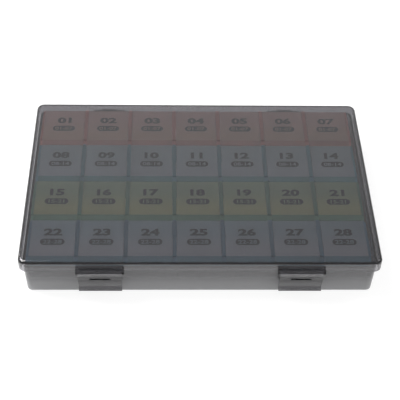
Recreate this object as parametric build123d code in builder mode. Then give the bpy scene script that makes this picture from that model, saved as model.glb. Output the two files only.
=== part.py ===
from build123d import *
import os
from math import cos, radians, sin, tan

# Travel pill organizer: a shallow hinged case with two front latches, which holds four weekly trays.
# Each tray has seven compartments, one for each day, and each compartment has its own hinged lid.
# Millimetres, +X along the length, +Y towards the case hinge, +Z up. The origin is on the ground under
# the case's centre.

# Case: a base that widens upwards and a lid that overhangs it
case_length = 226.0  # over the lid
case_depth = 150.5  # over the lid's front and back faces
case_height = 30.7
case_corner = 5.0  # lid corners, in plan
lid_skirt_height = 8.0
lid_plate = 1.8
lid_wall = 1.7
lid_top_edge = 2.0  # rounding round the lid's top
lid_overhang = 2.3  # lid past the base at the parting line
base_floor = 1.8
base_wall = 1.5
base_corner = 4.0  # foot corners, in plan
base_bottom_edge = 1.2  # chamfer
base_draft = 2.5  # degrees
rim_rise = 1.8  # base rim, standing inside the lid

# Weekly trays, which fill the case
day_count = 7
week_count = 4
tray_end_play = 1.65  # from a tray's rail to the base's inner face, at each end
tray_row_play = 0.5  # the same at the front and the back
tray_gap = 0.3  # between neighbouring trays
tray_headroom = 1.9  # from the trays' tops to the lid's plate
tray_end_wall = 1.4
tray_wall = 1.3
tray_floor = 1.2
tray_corner = 2.5
tray_body_corner = 1.2  # chamfer
tray_front_wall = 1.7
rail = 3.9  # height of the rail round a tray's top
front_rail = 4.25  # rail that stands out past the tray's front wall
rear_rail = 0.45
lip_clearance = 0.2  # between the lids' lips and the front rail's sloping top
rear_step = 2.0  # rear wall's top under the day lids, below the tray's top
partition = 2.4  # between neighbouring compartments, at the top
scoop_radius = 8.0  # rounded front edge of a compartment's floor, to sweep a tablet out with a finger
ramp = 10.0  # height and depth of the slope from the floor up to the rear wall
pocket_lean = 0.5  # how far a compartment's rear wall leans back at the top
tray_shift_x = -0.9  # the trays have slid to the left and the front in their play
tray_shift_y = -0.3

# Day lids
day_lid_thickness = 1.2
day_lid_recess = 1.0  # the lid's seat, below the tray's top
day_lid_side_gap = 0.25
day_lid_rear_gap = 0.45  # from the lid's rear edge to the tray's
day_lid_rear_chamfer = 0.4
seat_width = 1.2  # on the tray's front wall
plate_overhang = 0.6  # plate past its seat, where the front lip starts
lip_front_gap = 0.45  # from the lip's edge to the tray's front edge
lip_drop = 1.1
lip_corner = 0.8  # chamfer
pivot_radius = 0.5
pivot_half_flat = 0.25  # axis to the flats above and below, the lower one flush with the plate
pivot_from_rear = 0.8  # axis in front of the lid's rear edge
pivot_clearance = 0.05
pivot_grip = 0.9  # length of a pivot in a partition
pivot_end_gap = 0.2
snap_rib_width = 10.0
snap_rib_thickness = 0.7
snap_rib_drop = 1.0
snap_rib_gap = 0.2

# Rear hinges
hinge_spacing = 125.0  # between the two hinges' centres
hinge_offset = 2.3  # axis behind the lid's back face
hinge_drop = 2.6  # axis below the parting line
hinge_radius = 1.9
hinge_pin_radius = 1.0
hinge_pin_grip = 0.02  # radial clearance in the base's knuckles
hinge_pin_play = 0.06  # radial clearance in the lid's knuckle
lid_knuckle_width = 10.0
base_knuckle_width = 6.0
knuckle_gap = 0.3
base_arm_height = 8.0  # below the axis, at the base's wall
lid_arm_height = 5.7  # above the axis, at the lid's wall
arm_angle = 45.0  # degrees, where an arm's outer face leaves the knuckle

# Front latches
latch_spacing = 125.0
latch_offset = 2.3  # rod axis in front of the lid's front face
latch_rod_rise = 1.6  # rod axis above the parting line
rod_radius = 1.3
rod_clearance = 0.05
ear_radius = 1.8
ear_root_rise = 3.6  # top of an ear's root, above the rod axis
ear_thickness = 1.2
ear_gap = 0.2
clip_radius = 2.0
clip_mouth = 2.0  # slot that lets the clip snap over the rod
clip_neck_angle = 45.0  # degrees below level, where the clip's neck leaves it
flap_width = 27.0
flap_thickness = 1.5
flap_lower_thickness = 2.0
flap_front = 0.85  # flap's face in front of the rod axis
flap_top_drop = 1.7  # below the rod axis
flap_upper_height = 6.4
flap_step = 0.4
flap_lower_height = 6.8
flap_lean = 0.7  # how far the lower panel leans in towards the base
lip_thickness = 1.2
lip_edge = 0.8
lip_reach = 1.5
window_width = 13.0
window_height = 1.3
hook_width = 13.0
hook_reach = 1.3
hook_height = 1.6
hook_land = 0.55
hook_clearance = 0.3  # between the hook's tip and the catch rib's tip
catch_clearance = 0.4  # between the hook's top and the catch rib's underside
catch_width = 15.0
catch_height = 2.4
catch_land = 0.6
stiffener_spacing = 13.0
stiffener_width = 1.0
stiffener_height = 4.5
stiffener_reach = 1.3

day_names = ["sun", "mon", "tue", "wed", "thu", "fri", "sat"]
root = 0.7  # how far a moulded-on feature starts inside the wall that carries it

# Case sections
parting = case_height - lid_skirt_height
base_lean = tan(radians(base_draft))
base_top = parting + rim_rise
foot_length = case_length - 2 * lid_overhang - 2 * parting * base_lean
foot_depth = case_depth - 2 * lid_overhang - 2 * parting * base_lean
lid_front = -case_depth / 2
lid_back = case_depth / 2


def base_face(height):
    """Distance from the case's centre plane to the base's front or back outer face, at a height."""
    return foot_depth / 2 + height * base_lean


# Tray sections, measured from each tray's centre. The trays' sides are parallel to the base's walls.
rim_length = foot_length + 2 * (base_top * base_lean - base_wall)
rim_depth = foot_depth + 2 * (base_top * base_lean - base_wall)
tray_length = rim_length - 2 * tray_end_play
week_pitch = (rim_depth - 2 * tray_row_play + tray_gap) / week_count
tray_depth = week_pitch - tray_gap
day_pitch = (tray_length + partition - 2 * tray_end_wall) / day_count
pocket_width = day_pitch - partition
tray_top = case_height - lid_plate - tray_headroom
rail_bottom = tray_top - rail
body_front = -tray_depth / 2 + front_rail
body_rear = tray_depth / 2 - rear_rail
body_height = rail_bottom - base_floor
body_inset = body_height * base_lean
pocket_front = body_front + tray_front_wall
pocket_rear = body_rear - tray_wall
pocket_floor = base_floor + tray_floor
tray_xs = [tray_shift_x + (day - (day_count - 1) / 2) * day_pitch for day in range(day_count)]
tray_ys = [tray_shift_y + ((week_count - 1) / 2 - week) * week_pitch for week in range(week_count)]

# Day lid sections, measured from each tray's centre
day_lid_width = pocket_width - 2 * day_lid_side_gap
seat_front = pocket_front - seat_width
plate_front = seat_front - plate_overhang
lip_front = -tray_depth / 2 + lip_front_gap
day_lid_rear = tray_depth / 2 - day_lid_rear_gap
day_lid_bottom = tray_top - day_lid_recess
day_lid_top = day_lid_bottom + day_lid_thickness
day_hinge_y = day_lid_rear - pivot_from_rear
day_hinge_z = day_lid_bottom + pivot_half_flat

# Hinge and latch axes
hinge_y = lid_back + hinge_offset
hinge_z = parting - hinge_drop
arm_y = hinge_y + hinge_radius * cos(radians(arm_angle))
arm_drop = hinge_radius * sin(radians(arm_angle))
rod_y = lid_front - latch_offset
rod_z = parting + latch_rod_rise
flap_face = rod_y - flap_front
flap_back = flap_face + flap_thickness
flap_top = rod_z - flap_top_drop
step_z = flap_top - flap_upper_height
lip_top = step_z - flap_lower_height
lip_bottom = lip_top - lip_thickness
lower_face = flap_face + flap_step + flap_lean
lower_back = flap_face + flap_step + flap_lower_thickness
hook_top = step_z + hook_height
hook_tip = flap_back + hook_reach
catch_tip = hook_tip + hook_clearance
catch_bottom = hook_top + catch_clearance
window_z = catch_bottom + window_height / 2
hinge_xs = [-hinge_spacing / 2, hinge_spacing / 2]
latch_xs = [-latch_spacing / 2, latch_spacing / 2]
os.makedirs("parts", exist_ok=True)


def save(part, name):
    """Label a finished piece and write it as a node of its own."""
    part.label = name
    export_step(part, f"parts/{name}.step")


def make_case_base():
    with BuildPart() as base:
        # Drafted tub with a rounded underside
        with BuildSketch(Plane.XY):
            RectangleRounded(foot_length, foot_depth, base_corner)
        extrude(amount=base_top, taper=-base_draft)
        chamfer(base.faces().sort_by(Axis.Z)[0].edges(), base_bottom_edge)
        with BuildSketch(Plane.XY.offset(base_floor)):
            widening = 2 * base_floor * base_lean - 2 * base_wall
            RectangleRounded(foot_length + widening, foot_depth + widening, base_corner - base_wall)
        extrude(amount=base_top - base_floor, taper=-base_draft, mode=Mode.SUBTRACT)

        # Catch ribs: flat underneath for the hook, sloped on top so that the hook rides over
        for x in latch_xs:
            with BuildSketch(Plane.YZ.offset(x - catch_width / 2)):
                wall = -base_face(catch_bottom) + root
                with BuildLine():
                    Polyline(
                        (wall, catch_bottom),
                        (catch_tip, catch_bottom),
                        (catch_tip, catch_bottom + catch_land),
                        (wall, catch_bottom + catch_height),
                        close=True,
                    )
                make_face()
            extrude(amount=catch_width)

        # Hinge knuckles on arms below the parting line, two for each hinge
        for x in hinge_xs:
            first = x - lid_knuckle_width / 2 - knuckle_gap - base_knuckle_width
            second = x + lid_knuckle_width / 2 + knuckle_gap
            for start in (first, second):
                with BuildSketch(Plane.YZ.offset(start)):
                    wall = base_face(hinge_z - base_arm_height) - root
                    with BuildLine():
                        Polyline(
                            (wall, hinge_z + hinge_radius),
                            (hinge_y, hinge_z + hinge_radius),
                            (arm_y, hinge_z - arm_drop),
                            (wall, hinge_z - base_arm_height),
                            close=True,
                        )
                    make_face()
                    with Locations((hinge_y, hinge_z)):
                        Circle(hinge_radius)
                        Circle(hinge_pin_radius + hinge_pin_grip, mode=Mode.SUBTRACT)
                extrude(amount=base_knuckle_width)
    return base.part


def make_case_lid():
    with BuildPart() as lid:
        # Plate and skirt
        with BuildSketch(Plane.XY.offset(parting)):
            RectangleRounded(case_length, case_depth, case_corner)
        extrude(amount=lid_skirt_height)
        fillet(lid.faces().sort_by(Axis.Z)[-1].edges(), lid_top_edge)
        with BuildSketch(Plane.XY.offset(parting)):
            RectangleRounded(case_length - 2 * lid_wall, case_depth - 2 * lid_wall, case_corner - lid_wall)
        extrude(amount=lid_skirt_height - lid_plate, mode=Mode.SUBTRACT)

        # One knuckle for each hinge, on an arm that hangs below the parting line
        for x in hinge_xs:
            with BuildSketch(Plane.YZ.offset(x - lid_knuckle_width / 2)):
                wall = lid_back - root
                with BuildLine():
                    Polyline(
                        (wall, parting),
                        (hinge_y - hinge_radius, parting),
                        (hinge_y - hinge_radius, hinge_z),
                        (hinge_y, hinge_z),
                        (arm_y, hinge_z + arm_drop),
                        (wall, hinge_z + lid_arm_height),
                        close=True,
                    )
                make_face()
                with Locations((hinge_y, hinge_z)):
                    Circle(hinge_radius)
                    Circle(hinge_pin_radius + hinge_pin_play, mode=Mode.SUBTRACT)
            extrude(amount=lid_knuckle_width)

        # A moulded rod between two ears for each latch
        for x in latch_xs:
            ear_inside = flap_width / 2 + ear_gap
            for start in (x - ear_inside - ear_thickness, x + ear_inside):
                with BuildSketch(Plane.YZ.offset(start)):
                    wall = lid_front + root
                    with BuildLine():
                        Polyline(
                            (wall, parting),
                            (rod_y, rod_z - ear_radius),
                            (rod_y, rod_z + ear_radius),
                            (wall, rod_z + ear_root_rise),
                            close=True,
                        )
                    make_face()
                    with Locations((rod_y, rod_z)):
                        Circle(ear_radius)
                extrude(amount=ear_thickness)
            with BuildSketch(Plane.YZ.offset(x - ear_inside - ear_thickness / 2)):
                with Locations((rod_y, rod_z)):
                    Circle(rod_radius)
            extrude(amount=2 * ear_inside + ear_thickness)
    return lid.part


def make_hinge_pin(x):
    pin_length = lid_knuckle_width + 2 * knuckle_gap + 2 * base_knuckle_width
    with BuildPart() as pin:
        with BuildSketch(Plane.YZ.offset(x - pin_length / 2)):
            with Locations((hinge_y, hinge_z)):
                Circle(hinge_pin_radius)
        extrude(amount=pin_length)
    return pin.part


def make_latch(x):
    with BuildPart() as latch:
        # Flap: an upper panel, a set-back lower panel that leans in, and a finger lip
        with BuildSketch(Plane.YZ.offset(x - flap_width / 2)):
            with BuildLine():
                Polyline(
                    (flap_face, flap_top),
                    (flap_face, step_z),
                    (flap_face + flap_step, step_z),
                    (lower_face, lip_top),
                    (lower_face - lip_reach, lip_bottom + lip_edge),
                    (lower_face - lip_reach, lip_bottom),
                    (lower_face + flap_lower_thickness, lip_bottom),
                    (lower_back, step_z),
                    (flap_back, step_z + lower_back - flap_back),
                    (flap_back, flap_top),
                    close=True,
                )
            make_face()
        extrude(amount=flap_width)

        # Barrel as wide as the flap, which snaps over the lid's rod
        neck_y = clip_radius * cos(radians(clip_neck_angle))
        neck_drop = clip_radius * sin(radians(clip_neck_angle))
        with BuildSketch(Plane.YZ.offset(x - flap_width / 2)):
            with Locations((rod_y, rod_z)):
                Circle(clip_radius)
            with BuildLine():
                Polyline(
                    (rod_y - clip_radius, rod_z),
                    (rod_y, rod_z),
                    (rod_y + neck_y, rod_z - neck_drop),
                    (flap_back, flap_top - flap_thickness),
                    (flap_face, flap_top - flap_thickness),
                    close=True,
                )
            make_face()
        extrude(amount=flap_width)
        with BuildSketch(Plane.YZ.offset(x - flap_width / 2)):
            with Locations((rod_y, rod_z)):
                Circle(rod_radius + rod_clearance)
            with Locations((rod_y + clip_radius, rod_z)):
                Rectangle(2 * clip_radius, clip_mouth)
        extrude(amount=flap_width, mode=Mode.SUBTRACT)

        # Window over the hook, and the hook that stands under the base's catch rib
        with BuildSketch(Plane.XZ.offset(-flap_back)):
            with Locations((x, window_z)):
                SlotOverall(window_width, window_height)
        extrude(amount=flap_thickness, mode=Mode.SUBTRACT)
        with BuildSketch(Plane.YZ.offset(x - hook_width / 2)):
            with BuildLine():
                Polyline(
                    (flap_back - root, hook_top),
                    (hook_tip, hook_top),
                    (hook_tip, hook_top - hook_land),
                    (flap_back - root, hook_top - hook_height),
                    close=True,
                )
            make_face()
        extrude(amount=hook_width)

        # Two stiffeners behind the lower panel
        for side in (-1, 1):
            with BuildSketch(Plane.YZ.offset(x + side * stiffener_spacing / 2 - stiffener_width / 2)):
                with BuildLine():
                    Polyline(
                        (flap_back, step_z),
                        (flap_back + stiffener_reach, step_z),
                        (flap_back + flap_lean / 2, step_z - stiffener_height),
                        close=True,
                    )
                make_face()
            extrude(amount=stiffener_width)
    return latch.part


def make_tray(y):
    body_middle = y + (body_front + body_rear) / 2
    with BuildPart() as tray:
        # Drafted body under a flat rail that stands out at the front
        with BuildSketch(Plane.XY.offset(base_floor)) as foot:
            with Locations((tray_shift_x, body_middle)):
                Rectangle(tray_length - 2 * body_inset, body_rear - body_front - 2 * body_inset)
            chamfer(foot.vertices(), tray_body_corner)
        extrude(amount=body_height, taper=-base_draft)
        with BuildSketch(Plane.XY.offset(rail_bottom)):
            with Locations((tray_shift_x, y)):
                RectangleRounded(tray_length, tray_depth, tray_corner)
        extrude(amount=rail)

        # Seven compartments, whose floors are scooped at the front and rise in a slope at the rear
        with BuildSketch(*[Plane.YZ.offset(x - pocket_width / 2) for x in tray_xs]):
            with BuildLine():
                wall = Line((y + pocket_front, tray_top), (y + pocket_front, pocket_floor + scoop_radius))
                scoop = JernArc(wall @ 1, wall % 1, scoop_radius, 90)
                Polyline(
                    scoop @ 1,
                    (y + pocket_rear - pocket_lean - ramp, pocket_floor),
                    (y + pocket_rear - pocket_lean, pocket_floor + ramp),
                    (y + pocket_rear, tray_top),
                    wall @ 0,
                )
            make_face()
        extrude(amount=pocket_width, mode=Mode.SUBTRACT)

        # Seats for the lids' front edges, a front rail that slopes down under their lips and a low rear wall
        with BuildSketch(Plane.XY.offset(tray_top)):
            with Locations(*[(x, y + (seat_front + pocket_front) / 2) for x in tray_xs]):
                Rectangle(pocket_width, pocket_front - seat_front)
        extrude(amount=-day_lid_recess, mode=Mode.SUBTRACT)
        with BuildSketch(Plane.YZ.offset(tray_shift_x - tray_length / 2)):
            slope_start = day_lid_bottom - lip_clearance
            with BuildLine():
                Polyline(
                    (y + seat_front, tray_top),
                    (y + seat_front, slope_start),
                    (y + plate_front, slope_start),
                    (y + lip_front, slope_start - lip_drop),
                    (y - tray_depth / 2, slope_start - lip_drop),
                    (y - tray_depth / 2, tray_top),
                    close=True,
                )
            make_face()
        extrude(amount=tray_length, mode=Mode.SUBTRACT)
        with BuildSketch(Plane.XY.offset(tray_top)):
            with Locations(*[(x, y + tray_depth / 2) for x in tray_xs]):
                Rectangle(pocket_width, 2 * (tray_depth / 2 - pocket_rear + pocket_lean))
        extrude(amount=-rear_step, mode=Mode.SUBTRACT)

        # Sockets for the lids' pivots, in the partitions and the end walls. A pivot passes its socket's
        # narrow mouth on its flats only while its lid stands upright.
        socket_reach = pocket_width / 2 + pivot_grip + pivot_end_gap
        socket_width = 2 * (pivot_radius + pivot_clearance)
        mouth_width = 2 * (pivot_half_flat + pivot_clearance)
        with BuildSketch(*[Plane.YZ.offset(x - socket_reach) for x in tray_xs]):
            with Locations((y + day_hinge_y, day_hinge_z)):
                Rectangle(socket_width, socket_width)
                Rectangle(mouth_width, tray_top - day_hinge_z, align=(Align.CENTER, Align.MIN))
        extrude(amount=2 * socket_reach, mode=Mode.SUBTRACT)
    return tray.part


def make_day_lid(x, y):
    rear = y + day_lid_rear
    with BuildPart() as lid:
        # Plate whose front lip slopes down over the tray's front rail
        with BuildSketch(Plane.YZ.offset(x - day_lid_width / 2)):
            with BuildLine():
                Polyline(
                    (rear, day_lid_bottom),
                    (rear, day_lid_top - day_lid_rear_chamfer),
                    (rear - day_lid_rear_chamfer, day_lid_top),
                    (y + plate_front, day_lid_top),
                    (y + lip_front, day_lid_top - lip_drop),
                    (y + lip_front, day_lid_bottom - lip_drop),
                    (y + plate_front, day_lid_bottom),
                    close=True,
                )
            make_face()
        extrude(amount=day_lid_width)
        chamfer(lid.edges().filter_by(Axis.Z).group_by(Axis.Y)[0], lip_corner)

        # Pivots at the rear corners, round at the front and rear and flat above and below
        pivot_reach = pocket_width / 2 + pivot_grip
        with BuildSketch(Plane.YZ.offset(x - pivot_reach)):
            with Locations((y + day_hinge_y, day_hinge_z)):
                Circle(pivot_radius)
                Rectangle(2 * pivot_radius, 2 * pivot_half_flat, mode=Mode.INTERSECT)
        extrude(amount=2 * pivot_reach)

        # Snap rib that drops just inside the tray's front wall
        rib_middle = y + pocket_front + snap_rib_gap + snap_rib_thickness / 2
        with BuildSketch(Plane.XY.offset(day_lid_bottom - snap_rib_drop)):
            with Locations((x, rib_middle)):
                Rectangle(snap_rib_width, snap_rib_thickness)
        extrude(amount=snap_rib_drop)
    return lid.part


save(make_case_base(), "case_base")
save(make_case_lid(), "case_lid")
for side, x in zip(["left", "right"], hinge_xs):
    save(make_hinge_pin(x), f"{side}_hinge_pin")
for side, x in zip(["left", "right"], latch_xs):
    save(make_latch(x), f"{side}_latch")
for week, y in enumerate(tray_ys, start=1):
    save(make_tray(y), f"week_{week}_tray")
    for day, x in zip(day_names, tray_xs):
        save(make_day_lid(x, y), f"week_{week}_{day}_lid")
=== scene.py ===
"""Looks of the travel pill organizer: a smoke-clear case, four coloured weekly trays and printed day lids."""
from math import cos, radians, sin

import bmesh
import bpy
from mathutils import Matrix, Vector


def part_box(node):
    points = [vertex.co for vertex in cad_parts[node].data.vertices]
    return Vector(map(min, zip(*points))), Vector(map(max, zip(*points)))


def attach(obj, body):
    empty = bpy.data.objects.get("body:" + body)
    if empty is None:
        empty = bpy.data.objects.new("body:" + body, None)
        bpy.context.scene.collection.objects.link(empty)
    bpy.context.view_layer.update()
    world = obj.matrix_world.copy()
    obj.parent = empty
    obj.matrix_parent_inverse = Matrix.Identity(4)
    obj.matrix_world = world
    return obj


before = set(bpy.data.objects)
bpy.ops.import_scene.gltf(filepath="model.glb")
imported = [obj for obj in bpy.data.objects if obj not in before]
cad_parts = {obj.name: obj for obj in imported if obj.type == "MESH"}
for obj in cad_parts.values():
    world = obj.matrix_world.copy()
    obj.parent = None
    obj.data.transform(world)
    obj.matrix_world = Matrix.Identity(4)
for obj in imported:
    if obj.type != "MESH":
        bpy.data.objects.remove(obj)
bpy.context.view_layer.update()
scene = bpy.context.scene

DAYS = ("sun", "mon", "tue", "wed", "thu", "fri", "sat")
WEEKS = (1, 2, 3, 4)
MM = 0.001


# ---------------------------------------------------------------- node helpers

def new_material(name):
    """A material with one Principled shader. Returns the material, its tree and the shader."""
    material = bpy.data.materials.new(name)
    material.use_nodes = True
    tree = material.node_tree
    return material, tree, tree.nodes["Principled BSDF"]


def add(tree, kind, **settings):
    """A new node with its settings, whose inputs are named by a dict in inputs."""
    inputs = settings.pop("inputs", {})
    node = tree.nodes.new("ShaderNode" + kind)
    for key, value in settings.items():
        setattr(node, key, value)
    for key, value in inputs.items():
        node.inputs[key].default_value = value
    return node


def noise(tree, scale, detail=4.0, stretch=(1, 1, 1)):
    """Object-space noise of so many cells a metre. Returns its value from 0 to 1."""
    place = add(tree, "TexCoord")
    mapping = add(tree, "Mapping")
    mapping.inputs["Scale"].default_value = stretch
    texture = add(tree, "TexNoise", inputs={"Scale": scale, "Detail": detail})
    tree.links.new(place.outputs["Object"], mapping.inputs["Vector"])
    tree.links.new(mapping.outputs["Vector"], texture.inputs["Vector"])
    return texture.outputs["Fac"]


def spread(tree, value, low, high, start=0.3, end=0.7):
    """Maps a texture value to a range, whose ends are numbers or other nodes' outputs."""
    node = add(tree, "MapRange", inputs={"From Min": start, "From Max": end})
    tree.links.new(value, node.inputs["Value"])
    for socket, limit in ((node.inputs["To Min"], low), (node.inputs["To Max"], high)):
        if isinstance(limit, (int, float)):
            socket.default_value = limit
        else:
            tree.links.new(limit, socket)
    return node.outputs["Result"]


def bump(tree, shader, height, distance, strength=1.0):
    """Raises the surface by a texture value, by so many metres."""
    node = add(tree, "Bump", inputs={"Strength": strength, "Distance": distance})
    tree.links.new(height, node.inputs["Height"])
    tree.links.new(node.outputs["Normal"], shader.inputs["Normal"])


def mottle(tree, value, dark, light, start=0.3, end=0.7):
    """A colour that drifts between two shades with a texture value."""
    ramp = add(tree, "ValToRGB")
    ramp.color_ramp.elements[0].position = start
    ramp.color_ramp.elements[0].color = (*dark, 1)
    ramp.color_ramp.elements[1].position = end
    ramp.color_ramp.elements[1].color = (*light, 1)
    tree.links.new(value, ramp.inputs["Fac"])
    return ramp.outputs["Color"]


def blend(tree, factor, low, high):
    """A colour between two, each plain or another node's."""
    node = add(tree, "Mix", data_type="RGBA")
    tree.links.new(factor, node.inputs["Factor"])
    sockets = [socket for socket in node.inputs if socket.type == "RGBA"]
    for socket, colour in zip(sockets, (low, high)):
        if isinstance(colour, tuple):
            socket.default_value = (*colour, 1)
        else:
            tree.links.new(colour, socket)
    return [socket for socket in node.outputs if socket.type == "RGBA"][0]


def choose(tree, switch, off, on):
    """One of two values, by a switch that is 0 or 1. Each value is a number or another node's output."""
    node = add(tree, "Mix", data_type="FLOAT")
    tree.links.new(switch, node.inputs["Factor"])
    for socket, value in ((node.inputs["A"], off), (node.inputs["B"], on)):
        if isinstance(value, (int, float)):
            socket.default_value = value
        else:
            tree.links.new(value, socket)
    return node.outputs["Result"]


# ---------------------------------------------------------------- materials

SMOKE_TINT = (0.50, 0.49, 0.50)
SLOPE_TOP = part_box("week_1_tray")[0].z + 11.2 * MM  # where a compartment's slope meets its rear wall, and where the painted light on its floor and slope ends
RIM_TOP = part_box("week_1_tray")[1].z
FOOT_BOTTOM = 0.0 * MM  # the painted light on the foot: full at the bottom, none from the top on
FOOT_TOP = 17.0 * MM
UPRIGHT = 0.02  # how far up the normal of an upright face may point, and of a polished flat one must
FLAT = 0.15
SIDEWAYS = 0.5  # how far sideways a normal points where the grain of the ends begins, and where it is full
ENDWAYS = 0.9
UNEVEN_LOW = 0.7  # share of the smoke's roughness in its smoothest and its roughest places
UNEVEN_HIGH = 1.3
RIM_DEPTH = 4.0 * MM  # below a tray's top, where the painted shade on its wall tops begins, and where it is darkest
RIM_FULL = 0.5 * MM
# painted shade on the tops of a tray's walls: their colour is darkened to this share
RIM_SHADE = 0.72
SLOPE_BLUR = 0.4 * MM
LIP_TILT = -0.26  # how far forward the normal of a day lid's lip points, and the most that its plate's does
PLATE_TILT = -0.12
FRONT_REACH = 7.0 * MM  # half the way over which a day lid turns from its painted lit front colour to its painted shaded rear one
CLOUD_SHADE = 0.97
DAY_LID_ALPHA = 0.5


def smoke_plastic(name, haze, side_light_haze, foot_light_haze, density, roughness, end_roughness):
    """Smoke-grey plastic that darkens what is behind it by its thickness. Its upright faces are milkier than
    the flat ones, and milkier still towards the table: this milky white is painted light, brightening them as
    the white surroundings and table light them. The ends at the left and right can have a coarser grain of
    their own."""
    material, tree, shader = new_material(name)
    shader.inputs["Base Color"].default_value = (0.9, 0.9, 0.93, 1)
    shader.inputs["IOR"].default_value = 1.585
    facing = add(tree, "SeparateXYZ")
    tree.links.new(add(tree, "TexCoord").outputs["Normal"], facing.inputs["Vector"])
    upward = add(tree, "Math", operation="ABSOLUTE")
    tree.links.new(facing.outputs["Z"], upward.inputs[0])
    place = add(tree, "SeparateXYZ")
    tree.links.new(add(tree, "TexCoord").outputs["Object"], place.inputs["Vector"])
    # painted light: upright faces, and all faces towards the table, are made milkier, which brightens them as
    # if lit by the white surroundings and table
    polished = spread(tree, upward.outputs["Value"], 1 - side_light_haze, 1 - haze, UPRIGHT, FLAT)
    clear = spread(tree, place.outputs["Z"], 1 - foot_light_haze, polished, FOOT_BOTTOM, FOOT_TOP)
    tree.links.new(clear, shader.inputs["Transmission Weight"])
    uneven = spread(tree, noise(tree, 60), roughness * UNEVEN_LOW, roughness * UNEVEN_HIGH)
    endways = add(tree, "Math", operation="ABSOLUTE")
    tree.links.new(facing.outputs["X"], endways.inputs[0])
    grain = spread(tree, endways.outputs["Value"], uneven, end_roughness, SIDEWAYS, ENDWAYS)
    tree.links.new(grain, shader.inputs["Roughness"])
    bump(tree, shader, noise(tree, 45, detail=2.0), 0.00004, 0.1)
    absorption = add(tree, "VolumeAbsorption", inputs={"Color": (*SMOKE_TINT, 1), "Density": density})
    tree.links.new(absorption.outputs["Volume"], tree.nodes["Material Output"].inputs["Volume"])
    return material


def tray_plastic(name, dark, light, floor):
    """Coloured clear plastic of a weekly tray, deep in its walls, with painted light making its up-facing
    floors and slopes pale and painted shade darkening the tops of its walls.
    """
    material, tree, shader = new_material(name)
    wall = mottle(tree, noise(tree, 35), dark, light)
    # painted shade: the tops of the walls, which face up to the light, are darkened to RIM_SHADE of their
    # colour
    painted_rim_shade = mottle(tree, noise(tree, 35), [RIM_SHADE * c for c in dark], [RIM_SHADE * c for c in light])
    place = add(tree, "SeparateXYZ")
    tree.links.new(add(tree, "TexCoord").outputs["Object"], place.inputs["Vector"])
    height = place.outputs["Z"]
    # painted light: floors and slopes below SLOPE_TOP, which face up to the light, take the pale lit colour
    above_slope = spread(tree, height, 0.0, 1.0, SLOPE_TOP - SLOPE_BLUR, SLOPE_TOP + SLOPE_BLUR)
    rim_shade_mask = spread(tree, height, 0.0, 1.0, RIM_TOP - RIM_DEPTH, RIM_TOP - RIM_FULL)
    colour = blend(tree, above_slope, floor, blend(tree, rim_shade_mask, wall, painted_rim_shade))
    tree.links.new(colour, shader.inputs["Base Color"])
    shader.inputs["Subsurface Weight"].default_value = 0.35
    shader.inputs["Subsurface Radius"].default_value = (1.0, 1.0, 1.0)
    shader.inputs["Subsurface Scale"].default_value = 0.003
    tree.links.new(spread(tree, noise(tree, 120), 0.28, 0.42), shader.inputs["Roughness"])
    bump(tree, shader, noise(tree, 900, detail=6.0), 0.00003, 0.3)
    return material


def day_lid_plastic(name, rear, front, lip, middle):
    """Milky coloured plastic of the day lids, through which the compartments show faintly. It is painted
    paler in front, over the compartment's lit floor, than at the rear, over its shaded slope: painted light
    and painted shade.
    The sloping lips in front are deeper: the tray's colour under them, darkened further by painted shade."""
    material, tree, shader = new_material(name)
    facing = add(tree, "SeparateXYZ")
    tree.links.new(add(tree, "TexCoord").outputs["Normal"], facing.inputs["Vector"])
    sloping = spread(tree, facing.outputs["Y"], 1.0, 0.0, LIP_TILT, PLATE_TILT)
    place = add(tree, "SeparateXYZ")
    tree.links.new(add(tree, "TexCoord").outputs["Object"], place.inputs["Vector"])
    # painted light and painted shade: paler towards the front of each day lid, over the lit floor, deeper
    # towards the rear, over the shaded slope
    forward = spread(tree, place.outputs["Y"], 1.0, 0.0, middle - FRONT_REACH, middle + FRONT_REACH)
    cloud = noise(tree, 50)
    pale = mottle(tree, cloud, [CLOUD_SHADE * c for c in front], front)
    deep = mottle(tree, cloud, [CLOUD_SHADE * c for c in rear], rear)
    plate = blend(tree, forward, deep, pale)
    # the lip's colour: the tray's colour under it, deepened with painted shade
    tree.links.new(blend(tree, sloping, plate, lip), shader.inputs["Base Color"])
    tree.links.new(spread(tree, noise(tree, 160), 0.3, 0.45), shader.inputs["Roughness"])
    shader.inputs["Alpha"].default_value = DAY_LID_ALPHA
    bump(tree, shader, noise(tree, 1200, detail=6.0), 0.00002, 0.3)
    return material


def printing_ink(name):
    """Dark screen-printed ink, slightly uneven."""
    material, tree, shader = new_material(name)
    patchy = noise(tree, 2500, detail=3.0)
    colour = mottle(tree, patchy, (0.02, 0.022, 0.03), (0.05, 0.052, 0.06))
    tree.links.new(colour, shader.inputs["Base Color"])
    tree.links.new(spread(tree, patchy, 0.4, 0.55), shader.inputs["Roughness"])
    return material


def drawn_steel(name):
    """Steel rod with fine marks along its length."""
    material, tree, shader = new_material(name)
    lines = noise(tree, 1500, stretch=(0.05, 1, 1))
    tree.links.new(mottle(tree, lines, (0.42, 0.42, 0.43), (0.62, 0.62, 0.63)), shader.inputs["Base Color"])
    shader.inputs["Metallic"].default_value = 1.0
    tree.links.new(spread(tree, lines, 0.22, 0.38), shader.inputs["Roughness"])
    bump(tree, shader, lines, 0.00001, 0.4)
    return material


def finish_with(material, *nodes):
    """Gives CAD nodes a material."""
    for node in nodes:
        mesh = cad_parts[node].data
        mesh.materials.clear()
        mesh.materials.append(material)


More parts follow.
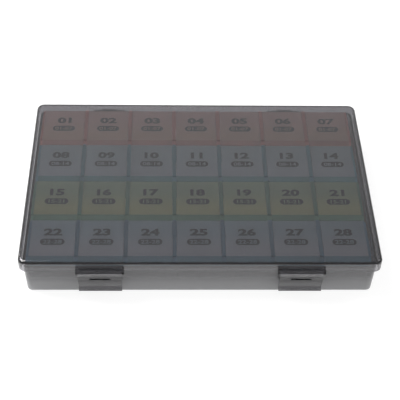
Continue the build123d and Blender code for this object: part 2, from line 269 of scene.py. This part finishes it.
# side_light_haze and foot_light_haze are painted light: milky white on upright faces and towards the table
lid_smoke = smoke_plastic(
    "lid_smoke",
    haze=0.015, side_light_haze=0.12, foot_light_haze=0.12, density=870, roughness=0.035, end_roughness=0.25,
)
base_smoke = smoke_plastic(
    "base_smoke",
    haze=0.04, side_light_haze=0.22, foot_light_haze=0.58, density=1900, roughness=0.06, end_roughness=0.06,
)
latch_smoke = smoke_plastic(
    "latch_smoke",
    haze=0.01, side_light_haze=0.06, foot_light_haze=0.40, density=1500, roughness=0.06, end_roughness=0.06,
)
steel = drawn_steel("hinge_steel")
ink = printing_ink("label_ink")
tray_colours = {
    1: ((0.74, 0.30, 0.26), (0.84, 0.38, 0.34)),
    2: ((0.20, 0.44, 0.50), (0.28, 0.52, 0.58)),
    3: ((0.22, 0.46, 0.34), (0.30, 0.54, 0.40)),
    4: ((0.20, 0.38, 0.50), (0.28, 0.46, 0.58)),
}
# the pale colour of each tray's floors and slopes: painted light, as they face up to the light
lit_floor_colours = {
    1: (1.0, 0.74, 0.62),
    2: (0.90, 0.91, 0.95),
    3: (0.95, 0.90, 0.50),
    4: (0.90, 0.89, 0.95),
}
# per week: the painted shaded rear colour and the painted lit front colour of the day lids
lid_lit_and_shaded_colours = {
    1: ((1.0, 0.71, 0.64), (1.0, 0.74, 0.59)),
    2: ((0.73, 0.86, 0.87), (0.83, 0.93, 0.97)),
    3: ((0.68, 0.84, 0.59), (0.91, 0.96, 0.56)),
    4: ((0.71, 0.87, 0.92), (0.91, 0.96, 1.0)),
}
# the day lids' sloping lips: the tray's colour under them, deepened with painted shade
lip_tint_and_shade_colours = {
    1: (0.86, 0.50, 0.44),
    2: (0.36, 0.68, 0.68),
    3: (0.38, 0.68, 0.50),
    4: (0.34, 0.58, 0.68),
}
finish_with(lid_smoke, "case_lid")
finish_with(base_smoke, "case_base")
finish_with(latch_smoke, "left_latch", "right_latch")
finish_with(steel, "left_hinge_pin", "right_hinge_pin")
for week in WEEKS:
    plastic = tray_plastic(f"tray_{week}", *tray_colours[week], lit_floor_colours[week])
    finish_with(plastic, f"week_{week}_tray")
    lid_nodes = [f"week_{week}_{day}_lid" for day in DAYS]
    tray_low, tray_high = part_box(f"week_{week}_tray")
    middle = (tray_low.y + tray_high.y) / 2
    plastic = day_lid_plastic(f"lid_{week}", *lid_lit_and_shaded_colours[week], lip_tint_and_shade_colours[week], middle)
    finish_with(plastic, *lid_nodes)


# ---------------------------------------------------------------- printed labels

NUMBER_HEIGHT = 6.0 * MM
NUMBER_BACK = 6.7 * MM  # number's centre, behind the middle of its tray
CAPSULE_FRONT = 1.6 * MM  # capsule's centre, in front of it
CAPSULE_LENGTH = 15.4 * MM
CAPSULE_WIDTH = 5.2 * MM
DATES_HEIGHT = 3.2 * MM
INK_RISE = 0.05 * MM  # above the lid's top
NUMBER_WIDEN = 1.5  # the figures' width and boldness, against the plain font
NUMBER_WEIGHT = 0.045
DATES_WIDEN = 1.2
DATES_WEIGHT = 0.02
CAPSULE_STEPS = 12  # straight edges in each round end


def flat_text(name, text, height, widen, weight):
    """A flat mesh of plain figures, centred on the origin, with capitals of the given height."""
    curve = bpy.data.curves.new(name, "FONT")
    curve.body = text
    curve.align_x = "CENTER"
    curve.align_y = "CENTER"
    curve.offset = weight
    curve.resolution_u = 3
    holder = bpy.data.objects.new(name, curve)
    scene.collection.objects.link(holder)
    bpy.context.view_layer.update()
    mesh = bpy.data.meshes.new_from_object(holder.evaluated_get(bpy.context.evaluated_depsgraph_get()))
    bpy.data.objects.remove(holder)
    ys = [v.co.y for v in mesh.vertices]
    xs = [v.co.x for v in mesh.vertices]
    scale = height / (max(ys) - min(ys))
    middle = Vector(((max(xs) + min(xs)) / 2, (max(ys) + min(ys)) / 2, 0))
    mesh.transform(Matrix.Diagonal((scale * widen, scale, 1, 1)) @ Matrix.Translation(-middle))
    return mesh


def capsule(length, width):
    """A flat bar with round ends, centred on the origin."""
    radius = width / 2
    reach = length / 2 - radius
    outline = []
    for side in (1, -1):
        for step in range(CAPSULE_STEPS + 1):
            angle = radians(-90 + 180 * step / CAPSULE_STEPS)
            outline.append((side * (reach + radius * cos(angle)), side * radius * sin(angle), 0))
    mesh = bpy.data.meshes.new("capsule")
    mesh.from_pydata(outline, [], [range(len(outline))])
    return mesh


def print_label(week, day, ink, paper):
    """Plain numbers on a day lid: the day's own above, and the week's first and last knocked out of a bar."""
    node = f"week_{week}_{DAYS[day]}_lid"
    lid_low, lid_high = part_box(node)
    tray_low, tray_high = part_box(f"week_{week}_tray")
    middle = Vector((
        (lid_low.x + lid_high.x) / 2,
        (tray_low.y + tray_high.y) / 2,
        lid_high.z + INK_RISE,
    ))
    first = (week - 1) * len(DAYS) + 1
    number = flat_text("number", f"{first + day:02d}", NUMBER_HEIGHT, NUMBER_WIDEN, NUMBER_WEIGHT)
    bar = capsule(CAPSULE_LENGTH, CAPSULE_WIDTH)
    last = first + len(DAYS) - 1
    dates = flat_text("dates", f"{first:02d}-{last:02d}", DATES_HEIGHT, DATES_WIDEN, DATES_WEIGHT)
    label = bmesh.new()
    pieces = (
        (number, -NUMBER_BACK, 0, 0),
        (bar, CAPSULE_FRONT, 0, 0),
        (dates, CAPSULE_FRONT, 1, 1),
    )
    for mesh, forward, rise, slot in pieces:
        mesh.transform(Matrix.Translation((0, -forward, rise * INK_RISE)))
        for face in mesh.polygons:
            face.material_index = slot
        label.from_mesh(mesh)
        bpy.data.meshes.remove(mesh)
    mesh = bpy.data.meshes.new(f"label_{first + day:02d}")
    label.to_mesh(mesh)
    label.free()
    mesh.materials.append(ink)
    mesh.materials.append(paper)
    piece = bpy.data.objects.new(mesh.name, mesh)
    piece.location = middle
    scene.collection.objects.link(piece)
    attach(piece, node)


for week in WEEKS:
    paper = bpy.data.materials[f"lid_{week}"]
    for day in range(len(DAYS)):
        print_label(week, day, ink, paper)


# ---------------------------------------------------------------- stage, lights and camera

FLOOR_REACH = 6.0
FLOOR_SHADE = 0.25  # what the floor gives back of the light on it, which carries the shadow
FLOOR_GLOW = 0.86  # its own glow, near the object, and far from it in what shines or is clear
FAR_GLOW = 0.5
NEAR = 0.25  # distances between which that glow falls
FAR = 0.5
ROOM_LIGHT = 0.64
ROOM_GLOW = 0.12
BACKDROP_EDGE = 0.60  # how far back a direction points where the backdrop begins, and where it is full
BACKDROP_FULL = 0.78
KEY_PLACE = (-0.62, 0.30, 0.90)
KEY_SIZE = 0.7
KEY_POWER = 17
CAMERA_PLACE = (-0.0215, -0.5086, 0.5265)
CAMERA_TURN = -2.567  # degrees, to the right
CAMERA_DIP = 45.44  # below the horizon
CAMERA_ROLL = 1.965
LENS = 96.26


def build_floor():
    """A pale floor that looks white to the camera and keeps the object's shadow."""
    mesh = bpy.data.meshes.new("floor")
    corners = [(x * FLOOR_REACH, y * FLOOR_REACH, 0) for x, y in ((-1, -1), (1, -1), (1, 1), (-1, 1))]
    mesh.from_pydata(corners, [], [(0, 1, 2, 3)])
    floor = bpy.data.objects.new("floor", mesh)
    scene.collection.objects.link(floor)
    material, tree, shader = new_material("floor")
    shader.inputs["Base Color"].default_value = (FLOOR_SHADE, FLOOR_SHADE, FLOOR_SHADE, 1)
    shader.inputs["Roughness"].default_value = 0.9
    shader.inputs["Specular IOR Level"].default_value = 0.0
    glow = add(tree, "Emission", inputs={"Color": (1, 1, 1, 1)})
    away = add(tree, "VectorMath", operation="LENGTH")
    tree.links.new(add(tree, "TexCoord").outputs["Object"], away.inputs[0])
    sheet = spread(tree, away.outputs["Value"], FLOOR_GLOW, FAR_GLOW, NEAR, FAR)
    path = add(tree, "LightPath")
    strength = choose(tree, path.outputs["Is Glossy Ray"], 0.0, sheet)
    strength = choose(tree, path.outputs["Is Transmission Ray"], strength, sheet)
    strength = choose(tree, path.outputs["Is Camera Ray"], strength, FLOOR_GLOW)
    tree.links.new(strength, glow.inputs["Strength"])
    both = add(tree, "AddShader")
    tree.links.new(shader.outputs["BSDF"], both.inputs[0])
    tree.links.new(glow.outputs["Emission"], both.inputs[1])
    tree.links.new(both.outputs["Shader"], tree.nodes["Material Output"].inputs["Surface"])
    mesh.materials.append(material)


def build_world(light):
    """White to the camera and a plain soft light elsewhere. What shines sees a white backdrop behind the
    object and a dim room above and in front of it."""
    world = bpy.data.worlds.new("studio")
    scene.world = world
    world.use_nodes = True
    tree = world.node_tree
    background = tree.nodes["Background"]
    background.inputs["Color"].default_value = (1, 1, 1, 1)
    parts = add(tree, "SeparateXYZ")
    tree.links.new(add(tree, "TexCoord").outputs["Generated"], parts.inputs["Vector"])
    backdrop = spread(tree, parts.outputs["Y"], ROOM_GLOW, 1.0, BACKDROP_EDGE, BACKDROP_FULL)
    path = add(tree, "LightPath")
    strength = choose(tree, path.outputs["Is Glossy Ray"], light, backdrop)
    strength = choose(tree, path.outputs["Is Transmission Ray"], strength, 1.0)
    strength = choose(tree, path.outputs["Is Camera Ray"], strength, 1.0)
    tree.links.new(strength, background.inputs["Strength"])


def build_lamp(name, place, target, size, power):
    """A soft square lamp that shines at a target."""
    lamp = bpy.data.lights.new(name, "AREA")
    lamp.size = size
    lamp.energy = power
    holder = bpy.data.objects.new(name, lamp)
    holder.location = place
    holder.rotation_euler = (Vector(target) - Vector(place)).to_track_quat("-Z", "Y").to_euler()
    scene.collection.objects.link(holder)


def build_camera():
    """A long lens in front of the case, half a metre up, that looks down at 45 degrees."""
    camera = bpy.data.cameras.new("camera")
    camera.sensor_width = 36.0
    camera.lens = LENS
    camera.clip_start = 0.01
    holder = bpy.data.objects.new("camera", camera)
    turned = Matrix.Rotation(radians(CAMERA_TURN), 4, "Z")
    tipped = Matrix.Rotation(radians(90 - CAMERA_DIP), 4, "X")
    rolled = Matrix.Rotation(radians(CAMERA_ROLL), 4, "Z")
    holder.matrix_world = Matrix.Translation(CAMERA_PLACE) @ turned @ tipped @ rolled
    scene.collection.objects.link(holder)
    scene.camera = holder


scene.view_settings.view_transform = "Standard"
build_floor()
build_world(ROOM_LIGHT)
build_lamp("key", KEY_PLACE, (0, 0, 0), KEY_SIZE, KEY_POWER)
build_camera()
